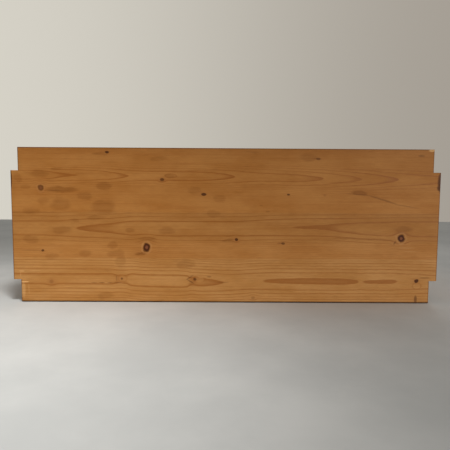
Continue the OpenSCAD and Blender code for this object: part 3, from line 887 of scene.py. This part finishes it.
def metal(name, dull, bright, cells, rough, scratched=False):
    finish, tree = new_finish(name)
    spot = add(tree, "ShaderNodeTexCoord", output="Object")
    grey = parts(add(tree, "ShaderNodeTexVoronoi", {"Vector": spot, "Scale": cells}, "Color"))[0]
    stain = add(tree, "ShaderNodeTexNoise", {"Vector": spot, "Scale": cells * 0.4, "Detail": 4.0})
    share = grey * 0.55 + stain * 0.45
    if scratched:
        _, side, up = parts(spot)
        rise = up - PIVOT * MM
        wanted = {"W": (side * side + rise * rise).math("SQRT"), "Scale": RIDGES, "Detail": 2.0}
        ridges = add(tree, "ShaderNodeTexNoise", wanted, noise_dimensions="1D")
        share = ridges.fade(0.58, 0.75) * stain.fade(0.4, 0.65) * 0.5 + share
    colour = blend(tree, share, dull, bright)
    shader = surface(tree, colour, stain * 0.3 + (grey * 0.12 + rough), share, 0.2, 0.0003)
    shader["Metallic"].default_value = METALLIC
    return finish


zinc = metal("zinc_plating", tint(150, 151, 150), tint(205, 205, 202), 420.0, 0.22)
wire = metal("galvanised_wire", tint(120, 122, 124), tint(172, 174, 175), 240.0, 0.35)
sheet = metal("galvanised_crystals", tint(136, 140, 143), tint(196, 200, 202), 150.0, 0.28, scratched=True)
print("metal finishes:", zinc.name, wire.name, sheet.name)

# %% [markdown]
# ## Patterns: screw, staple, dowel
# A screw is turned on a lathe, and so is a dowel, whose flutes let the glue out. One helper spins a
# profile round the upright axis. The cross recess is sunk into the screw head with a saw cut. The
# staple is bent wire, so a small ring of points follows its path.

# %% Turn and bend
def ring_of(bm, middle, side, up, radius, corners, flute):
    ring = []
    for k in range(corners):
        angle = 2 * math.pi * k / corners
        reach = radius * (1 - flute * (k % 2))
        corner = middle + side * reach * math.cos(angle) + up * reach * math.sin(angle)
        ring.append(bm.verts.new(corner * MM))
    return ring


def swept(name, path, radii, corners, flute=0.0):
    """A closed skin of rings that follows a path lying in the XZ plane, in millimetres."""
    bm = bmesh.new()
    points = [Vector(p) for p in path]
    side = Vector((0, 1, 0))
    rings = []
    for k, point in enumerate(points):
        run = (points[min(k + 1, len(points) - 1)] - points[max(k - 1, 0)]).normalized()
        rings.append(ring_of(bm, point, side.cross(run).normalized(), side, radii[k], corners, flute))
    for low, high in zip(rings, rings[1:]):
        for k in range(corners):
            bm.faces.new((low[k], low[(k + 1) % corners], high[(k + 1) % corners], high[k]))
    bm.faces.new(rings[0])
    bm.faces.new(rings[-1])
    return as_object(name, bm)


def turned(name, profile, corners=24, flute=0.0):
    return swept(name, [(0, 0, z) for _, z in profile], [r for r, _ in profile], corners, flute)


def cross_cut(screw, arm, width, floor, top):
    for long_x, long_y in ((arm, width), (width, arm)):
        bit = bmesh.new()
        block(bit, (-long_x / 2, -long_y / 2, floor), (long_x / 2, long_y / 2, top))
        take_out(screw, bit)


print("lathe ready")

# %% Screw, staple and dowel
CROWN, LEG, CORNER, THICK = 4.6, 8, 0.9, 0.4    # staple: half crown, leg, bend and half its wire


def wood_screw(length):
    profile = [(0.25, -length), (2, -length + 4), (2, -2), (3.85, -0.15), (3.7, 0)]
    screw = turned(f"pattern_screw_{length}", profile)
    cross_cut(screw, 4.0, 1.0, -1.2, 2.0)
    return screw


def staple_path():
    corner = [(CROWN - CORNER + CORNER * math.sin(a), 0, -0.5 + CORNER * math.cos(a))
              for a in (0.0, 0.52, 1.05, 1.57)]
    right = corner + [(CROWN, 0, -LEG)]
    return [(-x, y, z) for x, y, z in reversed(right)] + right


bent = staple_path()
staple = swept("pattern_staple", bent, [THICK] * len(bent), 8)
dowel = turned("pattern_dowel", [(3.2, -11), (3.95, -9.8), (3.95, 26.8), (3.2, 28)], 32, 0.07)
screws = {length: wood_screw(length) for length in (27, 30, 32, 50)}
print("patterns:", staple.name, dowel.name, ", ".join(screw.name for screw in screws.values()))

# %% [markdown]
# ## Marking out the fixings
# The places repeat the CAD model's rule: a length is split into equal fields, and a screw sits in the
# middle of each. Every screw gets its own turn, because nobody lines up the recesses of wood screws.

# %% Marks
SIDES = (-1, 1)
LENGTH, WIDTH = 2 * SHOULDER, 2 * INNER    # inside of the box
BATTEN, CROSS, RUNNER = 214, 512, 219      # inner faces of floor battens, cross battens and runners
RAIL_SCREW, FLOOR_SCREW, RUNNER_SCREW = 320.5, 68, 28    # heights of the screws
STAPLE_SIDE, STAPLE_END, MESH_TOP = 224, 522, 78.4
PEG = 541
FOLLOWER = -106.2                          # place of the follower along the box
dice = random.Random(5)


def fields(count, length):
    return [-length / 2 + length * (k + 0.5) / count for k in range(count)]


def any_turn():
    return dice.uniform(0, 90)


def end_row(count, width, x, z):
    return [((x * e, y, z), (-e, 0, 0), any_turn()) for e in SIDES for y in fields(count, width)]


def side_row(y, z):
    return [((x, y * s, z), (0, -s, 0), any_turn()) for s in SIDES for x in fields(4, LENGTH)]


rail_marks = end_row(4, WIDTH, RAIL_FACE, RAIL_SCREW)
batten_marks = side_row(BATTEN, FLOOR_SCREW)
cross_marks = end_row(3, 2 * BATTEN, CROSS, FLOOR_SCREW)
runner_marks = side_row(RUNNER, RUNNER_SCREW)
follower_marks = [((FOLLOWER, y, TOP), (0, 0, 1), any_turn()) for y in fields(3, WIDTH)]
staple_marks = [((x, STAPLE_SIDE * s, MESH_TOP), (0, 0, 1), 0) for s in SIDES for x in fields(8, LENGTH)]
staple_marks += [((STAPLE_END * e, y, MESH_TOP), (0, 0, 1), 90) for e in SIDES for y in fields(3, 2 * BATTEN)]
peg_heights = [STEP + (STEP_TOP - STEP) * (k + 0.5) / 4 for k in range(4)]
dowel_marks = [((PEG * e, INNER * s, z), (0, -s, 0), 0) for s in SIDES for e in SIDES for z in peg_heights]
print(len(staple_marks), "staples and", len(dowel_marks), "dowels marked out")

# %% Screws and staples in their places
FIXINGS = [
    ("rail_screws", screws[30], rail_marks), ("floor_screws", screws[32], batten_marks + cross_marks),
    ("runner_screws", screws[27], runner_marks), ("follower_screws", screws[50], follower_marks),
    ("mesh_staples", staple, staple_marks)]


def set_in(node, pattern, finish, marks):
    return settle(grown(node + "_set", set_out, {"Pattern": pattern, "Finish": finish}, marks), node, finish)


for node, pattern, marks in FIXINGS:
    row = set_in(node, pattern, zinc, marks)
    print(row.name, len(marks), "set in,", len(row.data.polygons), "faces")

# %% [markdown]
# ## Beech dowels
# Sixteen fluted pegs hold the corners and are hidden in the wood. They still get a finish: beech has
# no strong rings but short dark flecks along its length, so one stretched noise makes the flecks.

# %% Fleck finish and dowels
def flecked_beech(name):
    finish, tree = new_finish(name)
    _, _, _, point = board_axes(tree, "YZX", 0, 1)
    fleck = cloud(point, (0.25, 1.6, 1.6))
    colour = blend(tree, cloud(point, (0.02, 0.1, 0.1)), tint(206, 164, 120), tint(190, 144, 100))
    colour = blend(tree, fleck.fade(0.58, 0.66), colour, tint(150, 102, 66))
    surface(tree, colour, fleck * 0.2 + 0.5, fleck, 0.2, 0.0004)
    return finish


dowels = set_in("corner_dowels", dowel, flecked_beech("flecked_beech"), dowel_marks)
for pattern in (staple, dowel, *screws.values()):
    bpy.data.objects.remove(pattern)
print(dowels.name, len(dowel_marks), "dowels")

# %% [markdown]
# ## Rails, battens and runners
# Plain sticks, each eased and then countersunk where its screws sit. The rails close the ends of the
# row of bars, the battens carry the wire floor, and the tray slides on the runners. Most sticks have
# a twin on the other side of the hive, so one box and an axis to flip it along give both.

# %% Cut the sticks
SEAT = (0.4, 2.0, 4.5, 2.1)    # screw seat: over the face, under it, and the radius at either end


def stick(name, low, high, marks=(), width=EASE):
    bm = bmesh.new()
    block(bm, low, high)
    piece = as_object(name, bm)
    ease(piece, width)
    if marks:
        bit = bmesh.new()
        over, under, wide, narrow = SEAT
        for place, way, _ in marks:
            face, way = Vector(place), Vector(way)
            rod(bit, face + way * over, face - way * under, wide, narrow, 32)
        take_out(piece, bit)
    return piece


def flipped(low, high, axis):
    """The same box on the other side of the hive."""
    low, high = list(low), list(high)
    low[axis], high[axis] = -high[axis], -low[axis]
    return low, high


RAIL_FOOT, BATTEN_TOP = 300, 77
CROSS_MID = (167.333, 187.333)
RUNNER_FOOT, RUNNER_TOP = 22, 34
# the two names, the axis to flip along, the box of the second one, screw marks, finish
TWINS = [
    ("left_top_rail", "right_top_rail", 0,
     (RAIL_FACE, -INNER, RAIL_FOOT), (SHOULDER, INNER, TOP), rail_marks, panel_pine),
    ("floor_batten_front", "floor_batten_rear", 1,
     (-SHOULDER, BATTEN, STEP), (SHOULDER, INNER, BATTEN_TOP), batten_marks, long_pine),
    ("floor_cross_left", "floor_cross_right", 0,
     (CROSS, -BATTEN, STEP), (SHOULDER, BATTEN, BATTEN_TOP), cross_marks, cross_pine),
    ("floor_cross_mid_left", "floor_cross_mid_right", 0,
     (CROSS_MID[0], -BATTEN, STEP), (CROSS_MID[1], BATTEN, BATTEN_TOP), (), cross_pine),
    ("tray_runner_front", "tray_runner_rear", 1,
     (-SHOULDER, RUNNER, RUNNER_FOOT), (SHOULDER, INNER, RUNNER_TOP), runner_marks, long_pine)]
for first, second, axis, low, high, marks, pine in TWINS:
    for node, way, box in ((first, -1, flipped(low, high, axis)), (second, 1, (low, high))):
        seats = [mark for mark in marks if mark[0][axis] * way > 0]
        settle(stick(node + "_eased", *box, seats), node, pine)
print(2 * len(TWINS), "sticks cut")

# %% [markdown]
# ## The follower board
# A movable wall hangs from a bar of its own and sets the size of the room that the bees have. It is
# two more plain sticks with three screws through the bar, and all of it rides on one body.

# %% Cut the follower
PANEL_HALF, PANEL_FOOT, PANEL_THICK = 232, 83, 12
BAR_HALF, BAR_WIDE = 241.5, 35
follower = [
    ("follower_panel", PANEL_THICK / 2, PANEL_HALF, PANEL_FOOT, BAR_BASE, (), panel_pine),
    ("follower_bar", BAR_WIDE / 2, BAR_HALF, BAR_BASE, TOP, follower_marks, bar_pine)]
for node, half_x, half_y, foot, top, marks, pine in follower:
    low, high = (FOLLOWER - half_x, -half_y, foot), (FOLLOWER + half_x, half_y, top)
    settle(stick(node + "_eased", low, high, marks), node, pine)
print("follower cut in", len(follower), "pieces")

# %% [markdown]
# ## The top bars
# Twenty-eight bars, 35 mm wide because bees build their combs at that spacing. Each has a ridge under
# it that the comb is hung from. The shape follows a rule, so a tree makes it from named sizes: two
# profiles are drawn along two lines and joined into one solid. Each bar lifts out on its own, so
# the tree runs once for each bar and leaves one mesh for each body.

# %% A tree for one bar
BAR = {"Top": 0.4, "Length": 0.483, "Width": 0.035, "Thickness": 0.024, "Guide Length": 0.444,
       "Guide Width": 0.02, "Guide Depth": 0.012, "Guide Tip": 0.002}    # metres


def bar_tree():
    tree, given = geometry_tree("top_bar", [(label, "Float") for label in ("Middle X", *BAR)])

    def along_y(length, profile, height):
        half = length * 0.5
        start, end = (vector_of(tree, given["Middle X"], y, height) for y in (half * -1.0, half))
        line = add(tree, "GeometryNodeCurvePrimitiveLine", {"Start": start, "End": end})
        wanted = {"Curve": line, "Profile Curve": profile, "Fill Caps": True}
        return add(tree, "GeometryNodeCurveToMesh", wanted)

    def profile(mode, **sizes):
        wanted = {label.replace("_", " "): size for label, size in sizes.items()}
        return add(tree, "GeometryNodeCurvePrimitiveQuadrilateral", wanted, mode=mode)

    sunk = given["Guide Depth"] * 1.1
    base = given["Top"] - given["Thickness"]
    body = profile("RECTANGLE", Width=given["Width"], Height=given["Thickness"])
    ridge = profile("TRAPEZOID", Bottom_Width=given["Guide Width"], Top_Width=given["Guide Tip"],
                    Offset=0.0, Height=sunk)
    join = new_node(tree, "GeometryNodeMeshBoolean", operation="UNION", solver="EXACT")
    for length, section, height in (
            (given["Length"], body, given["Thickness"] * -0.5 + given["Top"]),
            (given["Guide Length"], ridge, sunk * 0.5 + base - given["Guide Depth"])):
        feed(tree, join.inputs["Mesh 2"], along_y(length, section, height))
    return hand_out(tree, given, Reading(tree, join.outputs["Mesh"]))


top_bar = bar_tree()
print("tree:", top_bar.name, "with", len(top_bar.nodes), "nodes")

# %% Twenty-eight bars
FIRST_BAR, PLACES, FOLLOWER_PLACE = -495.6, 29, 11
BAR_EASE = 0.7
places = [place for place in range(PLACES) if place != FOLLOWER_PLACE]
for count, place in enumerate(places, 1):
    node = f"top_bar_{count:02d}"
    sizes = {**BAR, "Middle X": (FIRST_BAR + BAR_STEP * place) * MM, "Finish": bar_pine}
    bar = grown(node + "_eased", top_bar, sizes)
    ease(bar, BAR_EASE, 2)
    settle(bar, node, bar_pine)
print(count, "bars, the last with", len(bar.data.polygons), "faces")

# %% [markdown]
# ## The wire floor
# The open floor lets mites and crumbs fall out of the box. It is a cloth of thin wire with gaps of
# about 3 mm, which bees cannot pass. In the CAD model it is one thin plate. Here a tree lays
# two layers of straight wires across each other, with the real gaps, so light falls through it.

# %% A tree for the wire floor
WIRES = {"Length": 1.06, "Width": 0.464, "Spacing": 0.003175, "Wire": 0.0005, "Base": 0.077}    # metres
QUARTER = math.pi / 2


def wire_tree():
    tree, given = geometry_tree("wire_floor", [(label, "Float") for label in WIRES])
    half = given["Wire"] * 0.5

    def layer(reach, spread_over, turn, lane, height):
        count = (spread_over / given["Spacing"]).math("FLOOR")
        start = (count - 1.0) * given["Spacing"] * -0.5
        first = add(tree, "ShaderNodeCombineXYZ", {lane: start, 2: height})
        step = add(tree, "ShaderNodeCombineXYZ", {lane: given["Spacing"]})
        marks = add(tree, "GeometryNodeMeshLine", {"Count": count, "Start Location": first, "Offset": step})
        one = add(tree, "GeometryNodeMeshCylinder", {"Vertices": 6, "Radius": half, "Depth": reach}, "Mesh")
        laid = add(tree, "GeometryNodeTransform", {"Geometry": one, "Rotation": turn})
        return add(tree, "GeometryNodeInstanceOnPoints", {"Points": marks, "Instance": laid})

    lower = given["Base"] + half
    upper = lower + given["Wire"] * 0.9
    join = new_node(tree, "GeometryNodeJoinGeometry")
    feed(tree, join.inputs[0], layer(given["Length"], given["Width"], (0, QUARTER, 0), 1, lower))
    feed(tree, join.inputs[0], layer(given["Width"], given["Length"], (QUARTER, 0, 0), 0, upper))
    return hand_out(tree, given, Reading(tree, join.outputs[0]))


wire_floor = settle(grown("floor_mesh_wires", wire_tree(), {**WIRES, "Finish": wire}), "floor_mesh", wire)
print(wire_floor.name, "has", len(wire_floor.data.polygons), "faces")

# %% [markdown]
# ## The tray
# A thin plywood board slides in under the wire floor and catches what falls. Its lip closes the gap
# at the left end and has a finger notch. Plywood shows its layers on the edge: thin sheets, glued
# with the grain crossed, so light and dark bands alternate.

# %% Plywood finish
TRAY_FOOT, TRAY_TOP, PLIES = 34.3, 40.3, 5
TRAY_HALF = 227
PLY = dict(pale=tint(212, 180, 132), figure=tint(196, 158, 106), fibre=tint(160, 120, 76),
           litter=tint(120, 84, 46), crossed=tint(142, 100, 62))


def plywood_finish(name):
    finish, tree = new_finish(name)
    _, _, height, point = board_axes(tree, "XYZ", 0, 1)
    layer = (TRAY_TOP - TRAY_FOOT) / PLIES
    crossed = ((height - (TRAY_FOOT + 0.01)) / layer).math("FLOOR").math("MODULO", 2.0)
    waves = (cloud(point, (0.004, 0.03, 0.0), 3.0, 0.6) * 14.0).math("PINGPONG", 1.0)
    fibre = cloud(point, (0.08, 1.4, 1.4))
    litter = cloud(point, (0.12, 0.12, 0.12), 3.0, 0.65).fade(0.66, 0.72)
    colour = blend(tree, waves.fade(0.3, 1.0), PLY["pale"], PLY["figure"])
    colour = layers(tree, colour, PLY, [
        (fibre.fade(0.45, 0.7), 0.35, "fibre"), (litter, 0.6, "litter"), (crossed, 0.55, "crossed")])
    surface(tree, colour, fibre * 0.2 + 0.55, fibre, 0.25, 0.0004)
    return finish


TRAY_END, TRAY_STOP = -537.3, 525
low, high = (TRAY_END, -TRAY_HALF, TRAY_FOOT), (TRAY_STOP, TRAY_HALF, TRAY_TOP)
tray = stick("tray_board_eased", low, high, width=0.4)
settle(tray, "tray_board", plywood_finish("crossed_plywood"))
print("plywood in", PLIES, "layers")

# %% The lip with its finger notch
LIP_FOOT, LIP_TOP, LIP_OUT, LIP_IN = 14, 50, -542.3, -532.3
NOTCH, ROUND = 36, 14    # half length of the notch's flat, and the radius at its ends
PAST = 240               # the groove's cutter reaches past the lip
turns = [math.radians(7.5 * step) for step in range(13)]
rounding = [(NOTCH + ROUND * math.cos(turn), LIP_FOOT + ROUND * math.sin(turn)) for turn in turns]
half_line = [(TRAY_HALF, LIP_TOP), (TRAY_HALF, LIP_FOOT), *rounding]
line = [(-y, z) for y, z in half_line] + half_line[::-1]
lip = plate("tray_lip_eased", line, 0, LIP_OUT, LIP_IN)
ease(lip, EASE)
groove = bmesh.new()
block(groove, (TRAY_END, -PAST, TRAY_FOOT), (-TRAY_STOP, PAST, TRAY_TOP))
take_out(lip, groove)
settle(lip, "tray_lip", panel_pine)
print("lip has", len(lip.data.polygons), "faces")

# %% [markdown]
# ## The entrance disc
# A stamped disc over the flight hole turns on one screw: fully open, vents, or slots that hold back
# the queen. The CAD solid has the right shape, so it stays and only gets its finish. Its
# screw has a domed head, which is turned like the other screws.

# %% Disc and its screw
DISC_FACE = 551.8
frame["nodes"]["entrance_disc"].material_slots[0].material = sheet
dome = [(2.5, -13.8), (2.5, 0), (6, 0), (6, 0.7), (5.4, 1.6), (4.2, 2.3), (2.6, 2.7), (1.0, 2.8)]
pivot = turned("pattern_pivot", dome, 32)
cross_cut(pivot, 6.0, 1.1, 1.3, 5.0)
set_in("disc_screw", pivot, zinc, [((DISC_FACE, 0, PIVOT), (1, 0, 0), 20)])
bpy.data.objects.remove(pivot)

# %% [markdown]
# ## Floor, backdrop and light
# The hive stands on a pale, slightly cloudy floor. The backdrop is the world behind it: the camera
# sees a soft pale grey that is brighter on the left, and metal reflects the same grey. The light on
# the hive is separate: even light from all round, a low lamp from the right front, and a steep one
# over the floor at the left, which throws light back at the foot of the board. Three weaker lamps
# light the ends and the back for the other views. All are soft spots, so no edge of light shows.

# %% Pale floor
BELOW = -0.0004    # metres, so that the boards' feet and the floor do not flicker
FLOOR_HALF, FLOOR_BACK = 8, 2.4
floor_bm = bmesh.new()
corners = [(-FLOOR_HALF, -FLOOR_HALF), (FLOOR_HALF, -FLOOR_HALF),
           (FLOOR_HALF, FLOOR_BACK), (-FLOOR_HALF, FLOOR_BACK)]
floor_bm.faces.new([floor_bm.verts.new((x, y, BELOW)) for x, y in corners])
floor = as_object("pale_floor", floor_bm)
screed, tree = new_finish("pale_screed")
cloudy = cloud(add(tree, "ShaderNodeTexCoord", output="Object"), (2.2, 2.2, 2.2), 6.0, 0.6)
colour = blend(tree, cloudy.fade(0.3, 0.7), tint(189, 190, 187), tint(206, 206, 202))
shader = surface(tree, colour, cloudy * 0.2 + 0.65)
shader["Specular IOR Level"].default_value = 0.1
floor.data.materials.append(screed)
print("floor reaches", floor.dimensions.x, "m")

# %% Backdrop in the world
ROOM_COLOUR, ROOM_LIGHT = (1.0, 0.98, 0.95, 1.0), 0.35
world = bpy.data.worlds.new("soft_room")
bpy.context.scene.world = world
world.use_nodes = True
tree = world.node_tree
room = tree.nodes["Background"]
room.inputs["Color"].default_value = ROOM_COLOUR
room.inputs["Strength"].default_value = ROOM_LIGHT
path = new_node(tree, "ShaderNodeLightPath").outputs
seen = Reading(tree, path["Is Camera Ray"])
for ray in ("Is Glossy Ray", "Is Transmission Ray"):
    seen = seen.math("MAXIMUM", Reading(tree, path[ray]))
across = parts(add(tree, "ShaderNodeTexCoord", output="Generated"))[0]
# painted light: the backdrop is painted lighter on the left and darker on the right, like a wall lit more
# from the left
pale_grey = blend(tree, across.fade(-0.5, 0.5), tint(214, 210, 199), tint(164, 157, 147))
backdrop = add(tree, "ShaderNodeBackground", {"Color": pale_grey, "Strength": 1.0})
both = add(tree, "ShaderNodeMixShader", {0: seen, 1: Reading(tree, room.outputs[0]), 2: backdrop})
feed(tree, tree.nodes["World Output"].inputs["Surface"], both)
print("backdrop:", world.name)

# %% Lamps
# name, watts, place and target in metres, cone in degrees, radius in metres
LAMPS = [
    ("soft_key", 188.0, (1.85, -2.7, 0.45), (0.14, 0.0, 0.24), 48, 0.5),
    ("soft_end", 64.0, (3.2, 0.4, 0.5), (0.55, 0.0, 0.24), 40, 0.5),
    ("soft_back", 100.0, (1.0, 3.0, 0.8), (0.0, 0.25, 0.24), 50, 0.6),
    ("soft_left", 70.0, (-3.2, 0.9, 0.6), (-0.55, 0.0, 0.28), 24, 0.4),
    ("soft_top", 216.0, (0.0, -1.2, 2.2), (-0.9, -0.75, 0.0), 60, 0.25)]
for name, power, place, target, cone, radius in LAMPS:
    light = bpy.data.lights.new(name, "SPOT")
    light.energy, light.shadow_soft_size = power, radius
    light.spot_size, light.spot_blend = math.radians(cone), 1.0
    lamp = in_scene(name, light)
    lamp.visible_camera = False
    turn = (Vector(target) - Vector(place)).to_track_quat("-Z", "Y")
    lamp.matrix_world = Matrix.Translation(place) @ turn.to_matrix().to_4x4()
print("lamps:", len(LAMPS))
